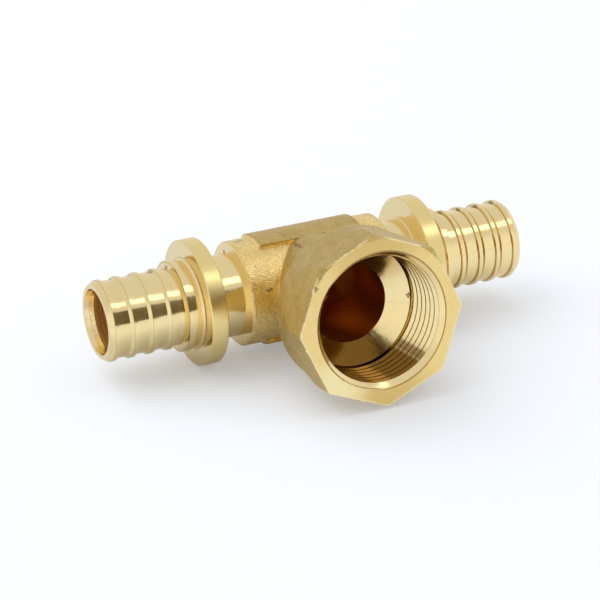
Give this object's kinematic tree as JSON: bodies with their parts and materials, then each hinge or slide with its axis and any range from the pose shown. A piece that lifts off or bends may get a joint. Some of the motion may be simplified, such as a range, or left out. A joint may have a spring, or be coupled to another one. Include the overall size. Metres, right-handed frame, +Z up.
{
  "type": "pex tee",
  "caption": "Forged brass tee that joins plastic pipe by sliding sleeves in line, with a threaded female branch.",
  "frame": {"origin": "crossing of the run's axis and the branch's axis", "axes": "+X along the run, towards one spigot; the branch points to -Y and rises 8.2 degrees, as the tee lies; +Z up"},
  "size_m": [0.0892, 0.0495, 0.0341],
  "materials": {
    "brass": "turned bright, forged faces satin"
  },
  "bodies": {
    "root": {"tee_body": "brass"}
  },
  "joints": []
}
